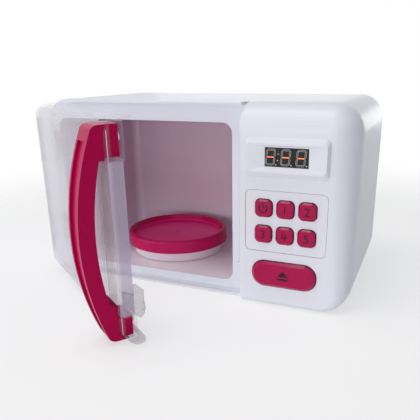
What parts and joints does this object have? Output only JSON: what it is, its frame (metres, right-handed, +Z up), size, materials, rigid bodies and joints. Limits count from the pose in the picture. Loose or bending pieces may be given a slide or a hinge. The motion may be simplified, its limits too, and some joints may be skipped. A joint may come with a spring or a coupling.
{
  "type": "toy microwave oven",
  "caption": "Toy oven with a hinged clear door and bow handle, turning plate, press keys, number display and a wide push button that draws the door catch back.",
  "frame": {"origin": "middle of the case's base, on the surface it stands on", "axes": "+X to the control panel side, +Y from the door to the back, +Z up"},
  "size_m": [0.2682, 0.2531, 0.15],
  "materials": {
    "case_white": "satin moulded white",
    "panel_white": "matt moulded white",
    "oven_grey": "satin grey with a faint mauve tint",
    "clear_plastic": "clear gloss",
    "frosted": "translucent milky white",
    "crimson": "gloss crimson",
    "window_black": "gloss black",
    "foot_rubber": "matt",
    "soft_grey": "matt soft",
    "belt_rubber": "matt",
    "screw_steel": "plated",
    "motor_steel": "plated can",
    "contact_brass": "nickel plated springs",
    "cell_grey": "plain sleeve",
    "board_green": "circuit board",
    "speaker_black": "paper cone in a black frame",
    "lamp_white": "milky lens"
  },
  "bodies": {
    "case": {"housing": "case_white", "control_panel": "case_white", "back_cover": "case_white", "cavity_liner": "oven_grey", "case_feet": "foot_rubber", "hinge_pins": "screw_steel", "display_bezel": "case_white", "display_window": "window_black", "display_module": "window_black", "keypad_plate": "panel_white", "key_mat": "soft_grey", "keypad_board": "board_green", "open_spring": "screw_steel", "latch_spring": "screw_steel", "drive_belt": "belt_rubber", "gear_motor": "motor_steel", "cavity_lamp": "lamp_white", "main_board": "board_green", "speaker": "speaker_black", "battery_box": "panel_white", "battery_contacts": "contact_brass", "battery_cells": "cell_grey", "case_screws": "screw_steel", "board_screws": "screw_steel"},
    "door": {"door_shell": "clear_plastic", "door_handle": "crimson", "latch_hook": "clear_plastic", "handle_screws": "screw_steel"},
    "open_button": {"open_button": "crimson"},
    "catch": {"latch_slide": "panel_white"},
    "turntable": {"turntable_plate": "crimson", "turntable_ring": "frosted", "drive_spindle": "panel_white"},
    "motor_wheel": {"motor_pulley": "panel_white"},
    "battery_hatch": {"battery_cover": "case_white", "cover_screw": "screw_steel"},
    "key_1": {"key_1": "crimson"},
    "key_2": {"key_2": "crimson"},
    "key_3": {"key_3": "crimson"},
    "key_4": {"key_4": "crimson"},
    "key_5": {"key_5": "crimson"},
    "key_6": {"key_6": "crimson"}
  },
  "joints": [
    {"name": "door_hinge", "type": "hinge", "parent": "case", "child": "door", "pos_m": [-0.1257, -0.0601, 0.0755], "axis": [0, 0, -1], "range_deg": [-35, 65]},
    {"name": "open_press", "type": "slide", "parent": "case", "child": "open_button", "axis": [0, 1, 0], "range_m": [0, 0.003], "stiffness_N_per_m": 400, "springref_m": -0.001, "deforming": ["open_spring"]},
    {"name": "catch_draw", "type": "slide", "parent": "case", "child": "catch", "axis": [1, 0, 0], "range_m": [0, 0.003], "stiffness_N_per_m": 100, "springref_m": -0.001, "deforming": ["latch_spring"]},
    {"name": "table_turn", "type": "hinge", "parent": "case", "child": "turntable", "pos_m": [-0.0428, 0.0026, 0.02], "axis": [0, 0, 1], "continuous": true},
    {"name": "motor_turn", "type": "hinge", "parent": "case", "child": "motor_wheel", "pos_m": [0.0663, 0.0026, 0.0063], "axis": [0, 0, 1], "continuous": true},
    {"name": "battery_hinge", "type": "hinge", "parent": "case", "child": "battery_hatch", "pos_m": [0.088, 0.0716, 0.02775], "axis": [-1, 0, 0], "range_deg": [0, 80]},
    {"name": "key_1_press", "type": "slide", "parent": "case", "child": "key_1", "axis": [0, 1, 0], "range_m": [0, 0.0012], "stiffness_N_per_m": 600, "springref_m": -0.0005},
    {"name": "key_2_press", "type": "slide", "parent": "case", "child": "key_2", "axis": [0, 1, 0], "range_m": [0, 0.0012], "stiffness_N_per_m": 600, "springref_m": -0.0005},
    {"name": "key_3_press", "type": "slide", "parent": "case", "child": "key_3", "axis": [0, 1, 0], "range_m": [0, 0.0012], "stiffness_N_per_m": 600, "springref_m": -0.0005},
    {"name": "key_4_press", "type": "slide", "parent": "case", "child": "key_4", "axis": [0, 1, 0], "range_m": [0, 0.0012], "stiffness_N_per_m": 600, "springref_m": -0.0005},
    {"name": "key_5_press", "type": "slide", "parent": "case", "child": "key_5", "axis": [0, 1, 0], "range_m": [0, 0.0012], "stiffness_N_per_m": 600, "springref_m": -0.0005},
    {"name": "key_6_press", "type": "slide", "parent": "case", "child": "key_6", "axis": [0, 1, 0], "range_m": [0, 0.0012], "stiffness_N_per_m": 600, "springref_m": -0.0005}
  ],
  "couplings": [
    {"joint": "catch_draw", "follows": "open_press", "ratio": 1},
    {"joint": "motor_turn", "follows": "table_turn", "ratio": 1}
  ]
}
